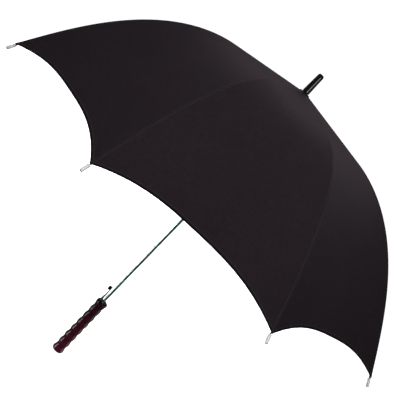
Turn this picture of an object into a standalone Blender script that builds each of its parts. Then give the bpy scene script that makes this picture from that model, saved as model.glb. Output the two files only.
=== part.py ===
"""Golf umbrella, standing open on the axis of its shaft: metres, +Z up, handle end at z = 0.

The canopy, its ribs and its stretchers are made once in a rib's own frame, x outwards along the rib,
y across it and z up, and are then turned about the shaft to each of the eight rib directions.
"""

import math

import bmesh
import bpy
import numpy as np

# Canopy and ribs
RIBS = 8
FIRST_RIB_DEG = 22.5  # from -Y towards +X
RIB_ARC = 0.756  # along the cloth from the hub to a corner
HUB_R = 0.012  # where the measured arc begins
TOP_Z = 0.980  # height of the cloth at the hub
SLOPE_IN_DEG = 8.5  # below horizontal, near the hub
SLOPE_OUT_DEG = 57.3  # below horizontal, at the corner
STRAIGHT = 0.29  # share of the arc before it starts to bend
BEND_POWER = 2.0
HEM_RISE = 0.0632  # share of the arc by which the hem rises between two ribs
HEM_POWER = 2.8
CLOTH = 0.0008  # thickness
CLOTH_START_R = 0.0145
JOINT_SHARE = 0.4335  # share of the arc at which the stretcher is pinned

# Rib and stretcher bars
BAR_W = 0.0024
RIB_H = 0.0028
RIB_UNDER = 0.0033  # from the middle of the cloth down to the middle of the rib
STRETCHER_H = 0.0026
STRETCHER_DROP = 0.0042  # from the middle of the rib down to the stretcher's pin
STRETCHER_LEN = 0.340
FLUTE_W = 0.0014  # groove along the underside of each bar
FLUTE_WEB = 0.0008  # metal left above it
BRACKET_W = 0.0044
PIN_R = 0.0006
EYE_HOLE_R = 0.0010
EYE_R = 0.0020
TIP_R = 0.0040
TIP_LEN = 0.0215

# Shaft, hub and runner
SHAFT_R = 0.005
SHAFT_BORE_R = 0.0042
SHAFT_BOTTOM = 0.021
SHAFT_TOP = 1.0275
BORE_R = 0.0053  # sockets and bushes around the shaft
GAP = 0.0003
PIVOT_R = 0.010  # ring of rib pivots in the top notch
PIVOT_Z = 0.9745
NOTCH_R = 0.013
NOTCH_BOTTOM = 0.9695
NOTCH_TOP = 0.9802
SLOT_W = 0.0032
RUNNER_PIVOT_R = 0.0115
RUNNER_R = 0.0085
CROWN_R = 0.0135
SKIRT_R = 0.0102
SKIRT_BORE_R = 0.0089
RUNNER_TRAVEL = 0.4756  # from fully open to fully closed
CLOSED_TOOTH_Z = 0.2578  # height of the lever's tooth

# Ferrule and rosette
ROSETTE_R = 0.016
ROSETTE_Z = 0.9806
ROSETTE_H = 0.003
FERRULE_Z = 0.9839
FERRULE_TOP = 1.0445

# Handle and release lever
HANDLE_LEN = 0.198
BUMPS = 8
FIRST_BUMP_Z = 0.0085
LAST_BUMP_Z = 0.1895
BUMP_R = 0.0166
VALLEY_R = 0.0143
LEVER_W = 0.0044
LEVER_PIN_X = -0.0090
LEVER_PIN_Z = 0.192
LEVER_PIN_R = 0.0009


def clear_scene():
    for obj in list(bpy.data.objects):
        bpy.data.objects.remove(obj, do_unlink=True)


def node(name, points, faces):
    mesh = bpy.data.meshes.new(name)
    mesh.from_pydata([tuple(p) for p in points], [], faces)
    bm = bmesh.new()
    bm.from_mesh(mesh)
    bmesh.ops.recalc_face_normals(bm, faces=bm.faces)
    bm.to_mesh(mesh)
    bm.free()
    obj = bpy.data.objects.new(name, mesh)
    bpy.context.scene.collection.objects.link(obj)
    return obj


def lathe(name, outline, sides):
    """A closed outline of (radius, z) turned about the shaft's axis; a radius of 0 becomes one point."""
    points = []
    rings = []
    for radius, z in outline:
        if radius == 0:
            rings.append([len(points)] * sides)
            points.append((0, 0, z))
            continue
        rings.append(list(range(len(points), len(points) + sides)))
        for i in range(sides):
            a = 2 * math.pi * (i + 0.5) / sides
            points.append((radius * math.cos(a), radius * math.sin(a), z))
    faces = []
    for low, high in zip(rings, rings[1:] + rings[:1]):
        for i in range(sides):
            j = (i + 1) % sides
            corners = []
            for p in (low[i], low[j], high[j], high[i]):
                if p not in corners:
                    corners.append(p)
            if len(corners) > 2:
                faces.append(corners)
    return node(name, points, faces)


def slab(name, outline, half_width):
    """A closed outline of (x, z) given a thickness along y."""
    n = len(outline)
    points = [(x, -half_width, z) for x, z in outline]
    points += [(x, half_width, z) for x, z in outline]
    faces = [list(range(n)), list(range(2 * n - 1, n - 1, -1))]
    for i in range(n):
        j = (i + 1) % n
        faces.append([i, i + n, j + n, j])
    return node(name, points, faces)


def box(name, low, high):
    outline = [(low[0], low[2]), (high[0], low[2]), (high[0], high[2]), (low[0], high[2])]
    obj = slab(name, outline, 0.5 * (high[1] - low[1]))
    shift(obj, (0, 0.5 * (high[1] + low[1]), 0))
    return obj


def rod_across(name, x, z, radius, half_width, sides=12):
    """A round bar along y."""
    outline = [
        (
            x + radius * math.cos(2 * math.pi * (i + 0.5) / sides),
            z + radius * math.sin(2 * math.pi * (i + 0.5) / sides),
        )
        for i in range(sides)
    ]
    return slab(name, outline, half_width)


def shift(obj, by):
    for v in obj.data.vertices:
        v.co.x += by[0]
        v.co.y += by[1]
        v.co.z += by[2]


def turn(obj, angle):
    """Turn a node made along +X about the shaft, so that it points along the rib direction."""
    c = math.cos(angle)
    s = math.sin(angle)
    for v in obj.data.vertices:
        x = v.co.x
        y = v.co.y
        v.co.x = c * x - s * y
        v.co.y = s * x + c * y


def combine(obj, tools, operation):
    """Cut or join each tool into the node, and drop the tools."""
    for tool in tools:
        modifier = obj.modifiers.new("combine", "BOOLEAN")
        modifier.operation = operation
        modifier.solver = "EXACT"
        modifier.object = tool
        graph = bpy.context.evaluated_depsgraph_get()
        mesh = bpy.data.meshes.new_from_object(obj.evaluated_get(graph))
        obj.modifiers.clear()
        obj.data = mesh
        bpy.data.objects.remove(tool, do_unlink=True)


def rib_direction(k):
    """Angle from +X of rib k's direction, for k from 0."""
    return math.radians(FIRST_RIB_DEG + k * 360 / RIBS - 90)


def profile_table():
    steps = 1500
    share = (np.arange(steps) + 0.5) / steps
    bent = np.clip((share - STRAIGHT) / (1 - STRAIGHT), 0, 1)
    bent = 1 - (1 - bent) ** BEND_POWER
    slope = np.radians(SLOPE_IN_DEG + (SLOPE_OUT_DEG - SLOPE_IN_DEG) * bent)
    r = HUB_R + np.concatenate([[0], np.cumsum(np.cos(slope))]) * RIB_ARC / steps
    z = TOP_Z - np.concatenate([[0], np.cumsum(np.sin(slope))]) * RIB_ARC / steps
    return np.arange(steps + 1) / steps, r, z, np.append(slope, slope[-1])


TABLE = profile_table()


def cloth_line(share):
    """(radius, z, slope) of the cloth over a rib, at a share of the arc, straight on past its end."""
    s, r, z, slope = TABLE
    beta = float(np.interp(share, s, slope))
    beyond = (max(share - 1, 0) + min(share, 0)) * RIB_ARC
    radius = float(np.interp(share, s, r)) + beyond * math.cos(beta)
    height = float(np.interp(share, s, z)) - beyond * math.sin(beta)
    return radius, height, beta


def rib_line(share, under=RIB_UNDER):
    """(x, z, slope) of the rib's middle line under the cloth."""
    radius, height, beta = cloth_line(share)
    return radius - under * math.sin(beta), height - under * math.cos(beta), beta


def share_at_radius(radius):
    s, r, _, _ = TABLE
    return float(np.interp(radius, r, s))


def bar_outline(line, half):
    """A closed outline around a line of (x, z, slope)."""
    top = [(x + half * math.sin(b), z + half * math.cos(b)) for x, z, b in line]
    low = [(x - half * math.sin(b), z - half * math.cos(b)) for x, z, b in line]
    return top + low[::-1]


def flute(line, half):
    """A cutter that opens the underside of a bar, from one end of a line to the other."""
    top = [(x + (half - FLUTE_WEB) * math.sin(b), z + (half - FLUTE_WEB) * math.cos(b)) for x, z, b in line]
    low = [(x - 1.4 * half * math.sin(b), z - 1.4 * half * math.cos(b)) for x, z, b in line]
    return slab("flute", top + low[::-1], 0.5 * FLUTE_W)


def arc_points(x, z, radius, first_deg, last_deg, count):
    return [
        (
            x + radius * math.cos(math.radians(first_deg + (last_deg - first_deg) * i / (count - 1))),
            z + radius * math.sin(math.radians(first_deg + (last_deg - first_deg) * i / (count - 1))),
        )
        for i in range(count)
    ]


def linkage():
    """Where the stretcher's two pins are with the umbrella open."""
    jx, jz, beta = rib_line(JOINT_SHARE)
    sx = jx - STRETCHER_DROP * math.sin(beta)
    sz = jz - STRETCHER_DROP * math.cos(beta)
    lean = math.asin((sx - RUNNER_PIVOT_R) / STRETCHER_LEN)
    return (jx, jz, beta), (sx, sz), sz - STRETCHER_LEN * math.cos(lean), lean


JOINT, STRETCHER_PIN, RUNNER_Z, LEAN = linkage()


def make_handle():
    outline = [(0.0100, 0.0), (0.0138, 0.0008), (0.0160, 0.0028), (0.0171, 0.0058)]
    pitch = (LAST_BUMP_Z - FIRST_BUMP_Z) / (BUMPS - 1)
    per_bump = 6
    for i in range(1, (BUMPS - 1) * per_bump):
        z = FIRST_BUMP_Z + pitch * i / per_bump
        wave = 0.5 + 0.5 * math.cos(2 * math.pi * i / per_bump)
        outline.append((VALLEY_R + (BUMP_R - VALLEY_R) * wave ** 0.8, z))
    outline += [(0.0170, 0.1890), (0.0171, 0.1930), (0.0161, 0.1964), (0.0142, HANDLE_LEN)]
    outline += [(BORE_R, HANDLE_LEN), (BORE_R, SHAFT_BOTTOM - GAP), (0, SHAFT_BOTTOM - GAP), (0, 0.0)]
    grip = lathe("handle_grip", outline, 20)
    slot = box("cut", (-0.0134, -0.0027, 0.1840), (-0.0040, 0.0027, 0.2050))
    hole = rod_across("cut_hole", LEVER_PIN_X, LEVER_PIN_Z, LEVER_PIN_R + GAP, 0.0075, 10)
    combine(grip, [slot, hole], "DIFFERENCE")
    rod_across("lever_pin", LEVER_PIN_X, LEVER_PIN_Z, LEVER_PIN_R, 0.0070, 10)


def make_shaft():
    outline = [
        (SHAFT_R, SHAFT_BOTTOM),
        (SHAFT_R, SHAFT_TOP),
        (SHAFT_BORE_R, SHAFT_TOP),
        (SHAFT_BORE_R, SHAFT_BOTTOM),
    ]
    lathe("shaft_tube", outline, 28)


def make_ferrule():
    outline = [
        (0.0094, FERRULE_Z),
        (0.0098, FERRULE_Z + 0.0012),
        (0.0098, FERRULE_Z + 0.0060),
        (0.0094, FERRULE_Z + 0.0200),
        (0.0089, FERRULE_Z + 0.0400),
        (0.0085, FERRULE_TOP - 0.0064),
        (0.0079, FERRULE_TOP - 0.0030),
        (0.0064, FERRULE_TOP - 0.0009),
        (0.0042, FERRULE_TOP),
        (0, FERRULE_TOP),
        (0, SHAFT_TOP + GAP),
        (BORE_R, SHAFT_TOP + GAP),
        (BORE_R, FERRULE_Z),
    ]
    lathe("ferrule", outline, 24)
    outline = [
        (BORE_R, ROSETTE_Z),
        (ROSETTE_R - 0.0008, ROSETTE_Z),
        (ROSETTE_R, ROSETTE_Z + 0.0008),
        (ROSETTE_R - 0.0004, ROSETTE_Z + 0.0018),
        (ROSETTE_R - 0.0022, ROSETTE_Z + 0.0026),
        (0.0100, ROSETTE_Z + ROSETTE_H),
        (BORE_R, ROSETTE_Z + ROSETTE_H),
    ]
    lathe("top_rosette", outline, 32)


def slot_cutters(low_z, high_z, inner_r):
    cutters = []
    for k in range(RIBS):
        cutter = box(f"cut_{k}", (inner_r, -0.5 * SLOT_W, low_z), (0.020, 0.5 * SLOT_W, high_z))
        turn(cutter, rib_direction(k))
        cutters.append(cutter)
    return cutters


def make_top_notch():
    outline = [
        (BORE_R, NOTCH_BOTTOM),
        (NOTCH_R - 0.0006, NOTCH_BOTTOM),
        (NOTCH_R, NOTCH_BOTTOM + 0.0006),
        (NOTCH_R, PIVOT_Z - 0.0009),
        (PIVOT_R - 0.0009, PIVOT_Z - 0.0009),
        (PIVOT_R - 0.0009, PIVOT_Z + 0.0009),
        (NOTCH_R, PIVOT_Z + 0.0009),
        (NOTCH_R, NOTCH_TOP),
        (BORE_R, NOTCH_TOP),
    ]
    notch = lathe("top_notch", outline, 32)
    combine(notch, slot_cutters(NOTCH_BOTTOM - 0.002, PIVOT_Z + 0.0024, 0.0072), "DIFFERENCE")
    sides = 8
    wire = [
        (
            PIVOT_R + PIN_R * math.cos(2 * math.pi * i / sides),
            PIVOT_Z + PIN_R * math.sin(2 * math.pi * i / sides),
        )
        for i in range(sides)
    ]
    lathe("notch_wire", wire, 40)


def make_runner():
    top = RUNNER_Z + 0.0130
    crown_top = RUNNER_Z + 0.0055
    crown_low = RUNNER_Z - 0.0050
    skirt_top = RUNNER_Z - 0.0430
    skirt_low = RUNNER_Z - 0.0620
    outline = [
        (0.0055, top),
        (RUNNER_R - 0.0006, top),
        (RUNNER_R, top - 0.0008),
        (RUNNER_R, crown_top),
        (CROWN_R - 0.0007, crown_top),
        (CROWN_R, crown_top - 0.0007),
        (CROWN_R, crown_low + 0.0007),
        (CROWN_R - 0.0007, crown_low),
        (RUNNER_R, crown_low),
        (RUNNER_R, skirt_top + 0.0030),
        (SKIRT_R, skirt_top),
        (SKIRT_R, skirt_low),
        (SKIRT_BORE_R, skirt_low),
        (SKIRT_BORE_R, skirt_top - 0.0020),
        (0.0055, skirt_top - 0.0020),
    ]
    runner = lathe("runner", outline, 32)
    cutters = slot_cutters(crown_low - 0.002, crown_top + 0.002, RUNNER_R + GAP)
    tooth_z = CLOSED_TOOTH_Z + RUNNER_TRAVEL
    cutters.append(box("cut_w", (-0.0130, -0.0029, tooth_z - 0.0032), (-0.0070, 0.0029, tooth_z + 0.0032)))
    combine(runner, cutters, "DIFFERENCE")
    low = top + 0.0005
    lathe("runner_stop", [(BORE_R, low), (0.0076, low), (0.0076, low + 0.006), (BORE_R, low + 0.006)], 24)


def make_release_lever():
    outline = [
        (-0.0062, 0.1885),
        (-0.0120, 0.1885),
        (-0.0124, 0.2000),
        (-0.0094, 0.2370),
        (-0.0083, 0.2465),
        (-0.0083, CLOSED_TOOTH_Z - 0.0014),
        (-0.0099, CLOSED_TOOTH_Z - 0.0010),
        (-0.0099, CLOSED_TOOTH_Z + 0.0004),
        (-0.0083, CLOSED_TOOTH_Z + 0.0030),
        (-0.0075, CLOSED_TOOTH_Z + 0.0040),
        (-0.0073, 0.2500),
        (-0.0070, 0.2370),
        (-0.0060, 0.2060),
    ]
    lever = slab("release_lever", outline, 0.5 * LEVER_W)
    groove = [
        (-0.0030, 0.1950),
        (-0.0111, 0.1950),
        (-0.0115, 0.2000),
        (-0.0086, 0.2350),
        (-0.0030, 0.2350),
    ]
    cutters = [slab("cut", groove, 0.5 * LEVER_W - 0.0006)]
    cutters.append(rod_across("cut_hole", LEVER_PIN_X, LEVER_PIN_Z, LEVER_PIN_R + GAP, 0.01, 10))
    combine(lever, cutters, "DIFFERENCE")
    block = [
        (-0.0100, 0.2352),
        (-0.0154, 0.2348),
        (-0.0168, 0.2358),
        (-0.0175, 0.2378),
        (-0.0173, 0.2438),
        (-0.0163, 0.2459),
        (-0.0146, 0.2466),
        (-0.0087, 0.2466),
    ]
    slab("release_button", block, 0.0036)


def make_rib(k, angle):
    joint_x, joint_z, joint_slope = JOINT
    # inner rib: an eye around the notch wire, then a bar under the cloth, ending in the stretcher's bracket
    first = share_at_radius(0.040)
    last = JOINT_SHARE - 0.0010 / RIB_ARC
    count = 8
    line = [rib_line(first + (last - first) * i / (count - 1)) for i in range(count)]
    half = 0.5 * RIB_H
    bar = bar_outline(line, half)
    eye = arc_points(PIVOT_R, PIVOT_Z, EYE_R, -45, -315, 9)
    inner = slab(f"rib_inner_{k}", bar + eye, 0.5 * BAR_W)
    bracket = [
        (-0.0130, half + 0.0002),
        (0.0040, half + 0.0002),
        (0.0052, -half),
        (0.0026, -STRETCHER_DROP - 0.0018),
        (-0.0022, -STRETCHER_DROP - 0.0018),
        (-0.0130, -half - 0.0004),
    ]
    c = math.cos(joint_slope)
    s = math.sin(joint_slope)
    placed = [(joint_x + c * x + s * z, joint_z - s * x + c * z) for x, z in bracket]
    shell = slab("bracket", placed, 0.5 * BRACKET_W)
    room = [(-0.0060, 0.010), (0.012, 0.010), (0.012, -0.012), (-0.0060, -0.012)]
    room = [(joint_x + c * x + s * z, joint_z - s * x + c * z) for x, z in room]
    inside = slab("room", room, 0.5 * BAR_W + GAP)
    pin = rod_across("pin", STRETCHER_PIN[0], STRETCHER_PIN[1], PIN_R, 0.5 * BRACKET_W - 0.0002, 8)
    combine(shell, [inside], "DIFFERENCE")
    combine(inner, [shell, pin], "UNION")
    hole = rod_across("hole", PIVOT_R, PIVOT_Z, EYE_HOLE_R, 0.01, 10)
    combine(inner, [hole, flute(line[1:-1], half)], "DIFFERENCE")

    # outer rib, to the corner of the cloth
    first = JOINT_SHARE + 0.0010 / RIB_ARC
    last = 1 + 0.0004 / RIB_ARC
    count = 13
    line = [rib_line(first + (last - first) * i / (count - 1)) for i in range(count)]
    outer = slab(f"rib_outer_{k}", bar_outline(line, half), 0.5 * BAR_W)
    combine(outer, [flute(line[1:-1], half)], "DIFFERENCE")

    # metal tip, straight on from the rib's end
    end_x, end_z, slope = rib_line(1 + 0.0008 / RIB_ARC)
    outline = [
        (0, 0),
        (TIP_R - 0.0004, 0),
        (TIP_R, 0.0005),
        (TIP_R, TIP_LEN - 0.0030),
        (TIP_R - 0.0003, TIP_LEN - 0.0014),
        (TIP_R - 0.0012, TIP_LEN),
        (0, TIP_LEN),
    ]
    tip = lathe(f"rib_tip_{k}", outline, 14)
    for v in tip.data.vertices:
        across = -v.co.x
        v.co.x = end_x + v.co.z * math.cos(slope) + across * math.sin(slope)
        v.co.z = end_z - v.co.z * math.sin(slope) + across * math.cos(slope)

    # stretcher: an eye on the bracket's pin, and a rounded end that lies free in the runner's slot
    along = (-math.sin(LEAN), -math.cos(LEAN))
    normal = (along[1], -along[0])
    half = 0.5 * STRETCHER_H
    placed = []
    for d, h in eye_bar(STRETCHER_LEN, half):
        x = STRETCHER_PIN[0] + d * along[0] + h * normal[0]
        z = STRETCHER_PIN[1] + d * along[1] + h * normal[1]
        placed.append((x, z))
    stretcher = slab(f"stretcher_{k}", placed, 0.5 * BAR_W)
    hole = rod_across("hole", STRETCHER_PIN[0], STRETCHER_PIN[1], EYE_HOLE_R, 0.01, 10)
    opened = []
    for d in (0.012, STRETCHER_LEN - 0.012):
        x = STRETCHER_PIN[0] + d * along[0]
        z = STRETCHER_PIN[1] + d * along[1]
        opened.append((x, z, LEAN - 0.5 * math.pi))
    combine(stretcher, [hole, flute(opened, half)], "DIFFERENCE")

    for obj in (inner, outer, tip, stretcher):
        turn(obj, angle)


def eye_bar(length, half):
    """Outline of a bar with a round eye at d = 0 and a round end at d = length, as (d, h)."""
    eye = [
        (0.0019 * math.cos(math.radians(a)), 0.0019 * math.sin(math.radians(a)))
        for a in range(45, 316, 30)
    ]
    end = [
        (length + half * math.cos(math.radians(a)), half * math.sin(math.radians(a)))
        for a in range(-90, 91, 30)
    ]
    return eye + end


def cloth_point(u, share):
    """A point of the cloth in a rib's frame: u is 0 on the rib and 1 or -1 midway to the next one."""
    radius, z, _ = cloth_line(share)
    step = math.pi / RIBS
    edge_x = radius * math.cos(step) ** 2
    edge_y = radius * math.cos(step) * math.sin(step)
    w = abs(u)
    return np.array([radius + (edge_x - radius) * w, math.copysign(edge_y * w, u), z])


def hem_share(u):
    return 1 - HEM_RISE * (1 - (1 - abs(u)) ** HEM_POWER)


def make_cloth(name, columns, steps, first_share, last_share, angle):
    """A thin closed shell from one share of the arc to another, cut back at its sides by half a gap."""
    grid = []
    rows = len(steps) - 1
    for step in steps:
        line = []
        for column in columns:
            start = first_share(column)
            share = start + (last_share(column) - start) * step
            radius = cloth_line(share)[0]
            most = 1 - 0.5 * GAP / (radius * math.sin(math.pi / RIBS))
            u = max(-most, min(most, column))
            here = cloth_point(u, share)
            du = cloth_point(u * 0.999 - 0.0005, share) - cloth_point(u * 0.999 + 0.0005, share)
            ds = cloth_point(u, share + 0.001) - cloth_point(u, share - 0.001)
            normal = np.cross(du, ds)
            if column == 0:
                beta = cloth_line(share)[2]
                normal = np.array([math.sin(beta), 0, math.cos(beta)])
            normal = normal / np.linalg.norm(normal)
            if normal[2] < 0:
                normal = -normal
            line.append((here + 0.5 * CLOTH * normal, here - 0.5 * CLOTH * normal))
        grid.append(line)
    wide = len(columns)
    points = [p[0] for line in grid for p in line] + [p[1] for line in grid for p in line]
    lower = (rows + 1) * wide
    faces = []
    for j in range(rows):
        for i in range(wide - 1):
            a = j * wide + i
            faces.append([a, a + 1, a + wide + 1, a + wide])
            faces.append([a + lower, a + wide + lower, a + wide + 1 + lower, a + 1 + lower])
    rim = [j * wide for j in range(rows + 1)]
    rim += [rows * wide + i for i in range(1, wide)]
    rim += [j * wide + wide - 1 for j in range(rows - 1, -1, -1)]
    rim += list(range(wide - 2, 0, -1))
    for a, b in zip(rim, rim[1:] + rim[:1]):
        faces.append([a, b, b + lower, a + lower])
    obj = node(name, points, faces)
    turn(obj, angle)


def make_canopy(k, angle):
    half_gap = 0.5 * GAP / RIB_ARC
    start = share_at_radius(CLOTH_START_R)
    columns = [-1, -0.66, -0.33, 0, 0.33, 0.66, 1]
    make_cloth(
        f"canopy_inner_{k}",
        columns,
        [0, 0.3, 0.62, 0.75, 0.87, 1],
        lambda u: start,
        lambda u: JOINT_SHARE - half_gap,
        angle,
    )
    columns = [-1, -0.78, -0.56, -0.36, -0.2, -0.08, 0, 0.08, 0.2, 0.36, 0.56, 0.78, 1]
    make_cloth(
        f"canopy_outer_{k}",
        columns,
        [i / 9 for i in range(10)],
        lambda u: JOINT_SHARE + half_gap,
        hem_share,
        angle,
    )


clear_scene()
make_handle()
make_shaft()
make_ferrule()
make_top_notch()
make_runner()
make_release_lever()
for index in range(RIBS):
    make_rib(index + 1, rib_direction(index))
    make_canopy(index + 1, rib_direction(index))
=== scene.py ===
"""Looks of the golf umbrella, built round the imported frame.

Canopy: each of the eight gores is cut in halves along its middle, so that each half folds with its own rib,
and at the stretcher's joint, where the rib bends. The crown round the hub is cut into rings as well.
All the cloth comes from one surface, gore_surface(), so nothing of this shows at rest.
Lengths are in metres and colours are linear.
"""

import math

import bmesh
import bpy
import numpy as np
from mathutils import Matrix, Vector


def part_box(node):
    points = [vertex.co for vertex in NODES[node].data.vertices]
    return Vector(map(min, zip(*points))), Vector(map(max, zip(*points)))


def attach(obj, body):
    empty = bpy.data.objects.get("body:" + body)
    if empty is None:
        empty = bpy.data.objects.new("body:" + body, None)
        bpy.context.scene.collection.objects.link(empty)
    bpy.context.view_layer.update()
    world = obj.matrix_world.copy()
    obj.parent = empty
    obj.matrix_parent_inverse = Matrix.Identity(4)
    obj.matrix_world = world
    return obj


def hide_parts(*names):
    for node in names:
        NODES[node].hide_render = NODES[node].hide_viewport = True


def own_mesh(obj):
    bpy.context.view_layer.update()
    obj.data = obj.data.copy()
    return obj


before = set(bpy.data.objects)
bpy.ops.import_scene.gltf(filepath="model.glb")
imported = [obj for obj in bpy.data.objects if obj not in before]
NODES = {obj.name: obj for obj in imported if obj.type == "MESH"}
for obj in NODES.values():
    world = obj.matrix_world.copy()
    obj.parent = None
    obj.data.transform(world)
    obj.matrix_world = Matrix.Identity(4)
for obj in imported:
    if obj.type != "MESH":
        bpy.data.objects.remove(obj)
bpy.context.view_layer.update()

# The cloth's shape, as the canopy nodes have it
RIBS = 8
FIRST_RIB_DEG = 22.5  # from -Y towards +X
HALF_GORE = math.pi / RIBS
RIB_ARC = 0.756
HUB_R = 0.012
TOP_Z = 0.980
SLOPE_IN_DEG = 8.5
SLOPE_OUT_DEG = 57.3
STRAIGHT = 0.29
BEND_POWER = 2.0
HEM_RISE = 0.0632
HEM_POWER = 2.8
CLOTH_START_R = 0.0145
JOINT_SHARE = 0.4335
RIB_UNDER = 0.0033  # from the cloth's line down to the middle of a rib tip

# How the cloth is sewn and how it hangs
CLOTH = 0.0004  # one layer
HEM_CLOTH = 0.0010  # folded hem
CLOTH_TOP = 0.0004  # outer face above the middle of the solid cloth
HEM_FOLD = 0.0090
HEM_FOLD_SOFT = 0.0012  # width over which the fold's step runs out
HEM_STITCH = 0.0074
HEM_STEP = 0.00035
STITCH_DIMPLE = 0.00022
STITCH_HALF = 0.0006
STITCH_PITCH = 0.0026
SAG = 0.034  # share of the chord between two ribs, where the cloth hangs in most
SAG_AT_HEM = 0.010
SAG_FULL_FROM = 0.30  # share of the arc where the sag is full
SAG_FADES_FROM = 0.50
SEAM_RISE = 0.0004
SEAM_HALF = 0.0036
SEAM_STITCH = 0.0026
SEAM_LEAN = 0.006  # distance from the rib over which the cloth turns from the rib's slope to the gore's
PUCKER = 0.00030
PUCKER_PITCH = 0.024
PUCKER_REACH = 0.011
PUCKER_START = 0.004
PUCKER_SHIFT = 1.7  # radians from one gore to the next
HEM_PUCKER = 0.0004
HEM_PUCKER_PITCH = 0.031
HEM_PUCKER_REACH = 0.012
HEM_PUCKER_START = 0.02
CREASE = 0.0011
CREASE_PEAK = 0.040  # distance from the corner where a crease is deepest
CREASE_PLACES = (0.20, 0.42, 0.60, 0.80)  # share of the corner's angle, from the hem to the rib
CREASE_HEIGHTS = (-1.0, 0.8, -0.7, 0.45)
CREASE_WIDTHS_DEG = (3.4, 3.0, 3.8, 3.0)
THREAD_PITCH = 0.00055

# Turned parts, as the CAD has them
BUMPS = 8
FIRST_BUMP_Z = 0.0085
LAST_BUMP_Z = 0.1895
BUMP_R = 0.0166
VALLEY_R = 0.0143
TIP_R = 0.0040
TIP_LEN = 0.0215
SHAFT_R = 0.0050
SHAFT_WALL = 0.0008
SHAFT_BORE_R = 0.0053  # of the parts that sit on the shaft
SHAFT_END_GAP = 0.0003
FERRULE_R = 0.0098
PIN_HOLE_R = 0.0012

rng = np.random.default_rng(8)


# ---------------------------------------------------------------- materials


class Look:
    """A principled material and short calls for the nodes that drive it."""

    def __init__(self, name):
        self.material = bpy.data.materials.new(name)
        self.material.use_nodes = True
        self.tree = self.material.node_tree
        self.tree.nodes.clear()
        self.shader = self.tree.nodes.new("ShaderNodeBsdfPrincipled")
        out = self.tree.nodes.new("ShaderNodeOutputMaterial")
        self.tree.links.new(self.shader.outputs["BSDF"], out.inputs["Surface"])

    def feed(self, socket, value):
        if isinstance(value, bpy.types.NodeSocket):
            self.tree.links.new(value, socket)
        elif isinstance(value, tuple) and len(value) == 3 and socket.type == "RGBA":
            socket.default_value = (*value, 1)
        else:
            socket.default_value = value

    def set(self, **values):
        for name, value in values.items():
            self.feed(self.shader.inputs[name.replace("_", " ")], value)
        return self

    def math(self, operation, a, b=0.0, clamp=False):
        node = self.tree.nodes.new("ShaderNodeMath")
        node.operation = operation
        node.use_clamp = clamp
        self.feed(node.inputs[0], a)
        self.feed(node.inputs[1], b)
        return node.outputs[0]

    def place(self, kind="Object", scale=(1, 1, 1)):
        """Coordinates in metres, stretched by scale: a UV map by name, or the object's own."""
        if kind == "Object":
            source = self.tree.nodes.new("ShaderNodeTexCoord").outputs["Object"]
        else:
            node = self.tree.nodes.new("ShaderNodeUVMap")
            node.uv_map = kind
            source = node.outputs["UV"]
        node = self.tree.nodes.new("ShaderNodeMapping")
        node.inputs["Scale"].default_value = scale
        self.tree.links.new(source, node.inputs["Vector"])
        return node.outputs["Vector"]

    def split(self, vector):
        node = self.tree.nodes.new("ShaderNodeSeparateXYZ")
        self.tree.links.new(vector, node.inputs[0])
        return node.outputs

    def noise(self, vector, scale, detail=3.0, roughness=0.5):
        node = self.tree.nodes.new("ShaderNodeTexNoise")
        node.inputs["Scale"].default_value = scale
        node.inputs["Detail"].default_value = detail
        node.inputs["Roughness"].default_value = roughness
        self.tree.links.new(vector, node.inputs["Vector"])
        return node.outputs["Fac"]

    def scale(self, value, low, high, to_low, to_high, smooth=False):
        node = self.tree.nodes.new("ShaderNodeMapRange")
        node.interpolation_type = "SMOOTHSTEP" if smooth else "LINEAR"
        self.feed(node.inputs["Value"], value)
        for name, number in zip(("From Min", "From Max", "To Min", "To Max"), (low, high, to_low, to_high)):
            node.inputs[name].default_value = number
        return node.outputs["Result"]

    def mix(self, factor, a, b):
        node = self.tree.nodes.new("ShaderNodeMix")
        node.data_type = "RGBA"
        self.feed(node.inputs[0], factor)
        self.feed(node.inputs[6], a)
        self.feed(node.inputs[7], b)
        return node.outputs[2]

    def bump(self, height, distance, strength=1.0):
        node = self.tree.nodes.new("ShaderNodeBump")
        node.inputs["Distance"].default_value = distance
        node.inputs["Strength"].default_value = strength
        self.tree.links.new(height, node.inputs["Height"])
        self.tree.links.new(node.outputs["Normal"], self.shader.inputs["Normal"])
        return self

    def edges(self, radius):
        """1 on sharp outer edges and 0 elsewhere."""
        bevel = self.tree.nodes.new("ShaderNodeBevel")
        bevel.samples = 4
        bevel.inputs["Radius"].default_value = radius
        here = self.tree.nodes.new("ShaderNodeNewGeometry")
        dot = self.tree.nodes.new("ShaderNodeVectorMath")
        dot.operation = "DOT_PRODUCT"
        self.tree.links.new(bevel.outputs["Normal"], dot.inputs[0])
        self.tree.links.new(here.outputs["Normal"], dot.inputs[1])
        return self.scale(dot.outputs["Value"], 0.98, 0.80, 0.0, 1.0)


def stitch_row(look, distance, line, along):
    """1 on the dashes of a row of stitches at distance line, 0 elsewhere."""
    off = look.math("ABSOLUTE", look.math("SUBTRACT", distance, line))
    row = look.scale(off, STITCH_HALF / 3, STITCH_HALF, 1.0, 0.0)
    dash = look.math("PINGPONG", along, STITCH_PITCH / 2)
    dash = look.scale(dash, STITCH_PITCH * 0.10, STITCH_PITCH * 0.16, 0.0, 1.0)
    return look.math("MULTIPLY", row, dash)


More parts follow.
